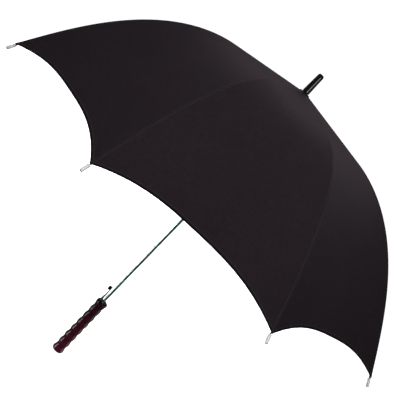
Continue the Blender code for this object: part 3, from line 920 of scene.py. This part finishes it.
def make_ferrule():
    """A tapered cap with a rolled foot and a domed end, hollow up to the shaft's end."""
    low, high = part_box("ferrule")
    z, top = low.z, high.z
    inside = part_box("shaft_tube")[1].z + SHAFT_END_GAP
    shoulder = (0.0085, top - 0.0064)
    side = [(FERRULE_R, z + 0.0012), (FERRULE_R, z + 0.0060), (0.0094, z + 0.0200), (0.0089, z + 0.0400)]
    side = spline(side + [shoulder], 4)
    cap = spline([shoulder, (0.0079, top - 0.0030), (0.0064, top - 0.0009), (0.0042, top - 0.0001)], 6)
    outline = [(SHAFT_BORE_R, z), (0.0090, z), (0.0095, z + 0.0004)] + side + cap[1:]
    outline += [(0.0020, top), (0.0, top), (0.0, inside), (SHAFT_BORE_R, inside)]
    mesh = turned_mesh("ferrule_cap", outline, 96)
    add_object("ferrule_cap", mesh, GLOSS_LOOK, "root", ["ferrule"])


def make_rosette():
    low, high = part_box("top_rosette")
    z, r = low.z, high.x
    outline = [(SHAFT_BORE_R, z), (r - 0.0010, z), (r - 0.0002, z + 0.0003), (r, z + 0.0009)]
    outline += [(r - 0.0004, z + 0.0017), (r - 0.0022, z + 0.0024), (0.0112, z + 0.0027)]
    outline += [(0.0104, z + 0.0030), (SHAFT_BORE_R, z + 0.0030)]
    mesh = turned_mesh("rosette", outline, 96)
    add_object("rosette", mesh, MOULDING_LOOK, "root", ["top_rosette"])


def make_small_rings():
    low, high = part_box("notch_wire")
    radius = 0.5 * (high.z - low.z)
    middle = high.x - radius
    z = 0.5 * (low.z + high.z)
    turns = np.linspace(0, 2 * math.pi, 17)[:-1]
    outline = [(middle + radius * math.cos(t), z + radius * math.sin(t)) for t in turns]
    mesh = turned_mesh("notch_ring", outline, 96)
    add_object("notch_ring", mesh, STEEL_LOOK, "root", ["notch_wire"])
    low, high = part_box("runner_stop")
    outline = [(SHAFT_BORE_R, low.z), (high.x, low.z), (high.x, high.z), (SHAFT_BORE_R, high.z)]
    mesh = turned_mesh("stop_ring", rounded(outline, 0.0008), 64)
    add_object("stop_ring", mesh, MOULDING_LOOK, "root", ["runner_stop"])


def make_tips():
    """Plated tips, straight on from each rib's end, with a rolled groove near the cloth and a domed end."""
    r, z, slope = (float(v) for v in cloth_line(np.array(1 + 0.0008 / RIB_ARC)))
    start = Vector((r - RIB_UNDER * math.sin(slope), 0, z - RIB_UNDER * math.cos(slope)))
    groove_r = TIP_R - 0.0003
    foot = [(0.0, 0.0), (TIP_R - 0.0005, 0.0), (TIP_R, 0.0006)]
    groove = [(TIP_R, 0.0034), (groove_r, 0.0040), (groove_r, 0.0045), (TIP_R, 0.0051)]
    # The domed end: how far each point is in from the side and back from the end
    dome = [(0.0, 0.0026), (0.0002, 0.0014), (0.0007, 0.0005), (0.0015, 0.0001), (0.0024, 0.0)]
    outline = foot + groove + [(TIP_R - inward, TIP_LEN - back) for inward, back in dome] + [(0.0, TIP_LEN)]
    axis = Vector((math.cos(slope), 0, -math.sin(slope)))
    up = Vector((math.sin(slope), 0, math.cos(slope)))
    place = Matrix(((up.x, 0, axis.x, start.x), (0, -1, 0, 0), (up.z, 0, axis.z, start.z), (0, 0, 0, 1)))
    for rib in range(1, RIBS + 1):
        mesh = turned_mesh(f"tip_{rib}", outline, 40)
        mesh.transform(Matrix.Rotation(rib_angle(rib), 4, "Z") @ place)
        add_object(f"tip_{rib}", mesh, TIP_LOOK, f"rib_end_{rib}", [f"rib_tip_{rib}"])


def make_mechanism():
    refined("release_lever", 0.0003, STEEL_LOOK, "lever")
    refined("release_button", 0.0007, MOULDING_LOOK, "lever", 4)
    refined("lever_pin", 0.0002, STEEL_LOOK, "root")
    refined("top_notch", 0.0003, MOULDING_LOOK, "root")
    refined("runner", 0.0004, MOULDING_LOOK, "runner")
    for rib in range(1, RIBS + 1):
        refined(f"rib_inner_{rib}", 0.0003, RIB_LOOK, f"rib_{rib}")
        refined(f"rib_outer_{rib}", 0.0003, RIB_LOOK, f"rib_end_{rib}")
        refined(f"stretcher_{rib}", 0.0003, RIB_LOOK, f"strut_{rib}")


# ---------------------------------------------------------------- camera, floor and light

CAMERA_AZIMUTH = math.radians(-3.89792)  # from -Y towards +X
CAMERA_RISE = math.radians(12.41353)
CAMERA_DISTANCE = 1.98452
CAMERA_ROLL = math.radians(-44.04659)
TARGET_Z = 0.530
AIM_ACROSS = math.radians(0.07883)  # turn away from the target, which puts the part off the picture's middle
AIM_DOWN = math.radians(1.75143)
SENSOR = 36.0
LENS = 66.7503


def make_camera():
    data = bpy.data.cameras.new("camera")
    data.sensor_width = SENSOR
    data.sensor_height = SENSOR
    data.lens = LENS
    data.clip_start = 0.05
    data.clip_end = 100
    camera = bpy.data.objects.new("camera", data)
    bpy.context.scene.collection.objects.link(camera)
    c, s = math.cos(CAMERA_RISE), math.sin(CAMERA_RISE)
    place = Vector((0, -CAMERA_DISTANCE * c, TARGET_Z + CAMERA_DISTANCE * s))
    forward, right = Vector((0, c, -s)), Vector((1, 0, 0))
    up = right.cross(forward)
    turn = Matrix.Rotation(AIM_ACROSS, 3, up)
    forward, right = turn @ forward, turn @ right
    turn = Matrix.Rotation(AIM_DOWN, 3, right)
    forward, up = turn @ forward, turn @ up
    image_right = math.cos(CAMERA_ROLL) * right - math.sin(CAMERA_ROLL) * up
    image_up = math.sin(CAMERA_ROLL) * right + math.cos(CAMERA_ROLL) * up
    round_z = Matrix.Rotation(CAMERA_AZIMUTH, 3, "Z")
    turned = Matrix([round_z @ v for v in (image_right, image_up, -forward)]).transposed()
    camera.matrix_world = Matrix.Translation(round_z @ place) @ turned.to_4x4()
    bpy.context.scene.camera = camera


FLOOR_R = 40.0
FLOOR_DROP = 0.0005


def make_floor():
    """A pale floor just under the part, as bright as the studio round it and seen by the camera alone."""
    bm = bmesh.new()
    bmesh.ops.create_circle(bm, cap_ends=True, segments=96, radius=FLOOR_R)
    mesh = bpy.data.meshes.new("floor")
    bm.to_mesh(mesh)
    bm.free()
    floor = bpy.data.objects.new("floor", mesh)
    bpy.context.scene.collection.objects.link(floor)
    floor.location.z = -FLOOR_DROP
    look = Look("pale_floor")
    cloud = look.noise(look.place(), 1.5, 2.0)
    look.set(Base_Color=look.mix(cloud, (0.86, 0.86, 0.86), (0.90, 0.90, 0.90)))
    look.set(Roughness=0.8, Specular_IOR_Level=0.1)
    look.set(Emission_Color=(1.0, 1.0, 1.0), Emission_Strength=1.0)
    mesh.materials.append(look.material)
    floor.visible_glossy = False
    floor.visible_diffuse = False


def area_light(name, place, target, size, power, gloss):
    """A soft box aimed at target; with gloss it shows in reflections alone, and otherwise it only lights."""
    data = bpy.data.lights.new(name, "AREA")
    data.shape = "RECTANGLE"
    data.size, data.size_y = size
    data.energy = power
    light = bpy.data.objects.new(name, data)
    bpy.context.scene.collection.objects.link(light)
    light.location = place
    light.visible_camera = False
    light.visible_diffuse = not gloss
    light.visible_glossy = gloss
    light.rotation_euler = (Vector(target) - Vector(place)).to_track_quat("-Z", "Y").to_euler()


STUDIO = 1.05  # brightness of the background to the camera
ROOM_FRONT = 0.03  # brightness of the studio behind the camera, as mirrored in the gloss
ROOM_SIDE = 0.11  # and of its sides, back and ceiling
ROOM_SOFT = 0.08  # fill on everything else
ROOM_COLOUR = (0.8, 0.8, 0.8)
SOFT_COLOUR = (0.98, 0.99, 1.0)

# Name, place, target, size, power, and whether it shows in reflections alone
LIGHTS = (
    ("key", (-0.3, -1.90, 2.30), (0, -0.2, 0.8), (0.8, 0.8), 76, False),
    ("back_top", (0.3, 1.70, 2.40), (0, 0, 0.85), (1.0, 1.0), 150, False),
    ("left_strip", (-2.85, -0.95, -0.65), (0, 0, 0.1), (0.6, 1.5), 29, True),
    ("right_strip", (1.3, -2.5, 1.15), (0, 0, 1.0), (0.9, 0.7), 11, True),
    ("right_wall", (3.2, 0.0, -0.5), (0, 0, 0.3), (1.6, 1.6), 13, True),
)


def background(tree, strength, colour=(1, 1, 1)):
    node = tree.nodes.new("ShaderNodeBackground")
    node.inputs["Color"].default_value = (*colour, 1)
    node.inputs["Strength"].default_value = strength
    return node


def choice(tree, factor, no, yes):
    node = tree.nodes.new("ShaderNodeMixShader")
    tree.links.new(factor, node.inputs[0])
    tree.links.new(no.outputs[0], node.inputs[1])
    tree.links.new(yes.outputs[0], node.inputs[2])
    return node


def make_studio():
    """A white studio to the camera, a dim room in reflections, darker behind the camera, and a faint fill."""
    world = bpy.data.worlds.new("studio")
    bpy.context.scene.world = world
    world.use_nodes = True
    tree = world.node_tree
    tree.nodes.clear()
    room = background(tree, ROOM_SIDE, ROOM_COLOUR)
    where = tree.nodes.new("ShaderNodeTexCoord")
    split = tree.nodes.new("ShaderNodeSeparateXYZ")
    tree.links.new(where.outputs["Generated"], split.inputs[0])
    front = tree.nodes.new("ShaderNodeMapRange")
    front.interpolation_type = "SMOOTHSTEP"
    limits = (("From Min", -0.95), ("From Max", -0.30), ("To Min", ROOM_FRONT), ("To Max", ROOM_SIDE))
    for title, number in limits:
        front.inputs[title].default_value = number
    tree.links.new(split.outputs["Y"], front.inputs["Value"])
    tree.links.new(front.outputs["Result"], room.inputs["Strength"])
    path = tree.nodes.new("ShaderNodeLightPath")
    unseen = choice(tree, path.outputs["Is Glossy Ray"], background(tree, ROOM_SOFT, SOFT_COLOUR), room)
    seen = choice(tree, path.outputs["Is Camera Ray"], unseen, background(tree, STUDIO))
    out = tree.nodes.new("ShaderNodeOutputWorld")
    tree.links.new(seen.outputs[0], out.inputs["Surface"])


def make_light():
    make_studio()
    for name, place, target, size, power, gloss in LIGHTS:
        area_light(name, place, target, size, power, gloss)
    bpy.context.scene.view_settings.view_transform = "Standard"
    bpy.context.scene.view_settings.look = "None"


make_canopy()
make_handle()
make_shaft()
make_ferrule()
make_rosette()
make_small_rings()
make_tips()
make_mechanism()
make_camera()
make_floor()
make_light()

bpy.context.view_layer.update()
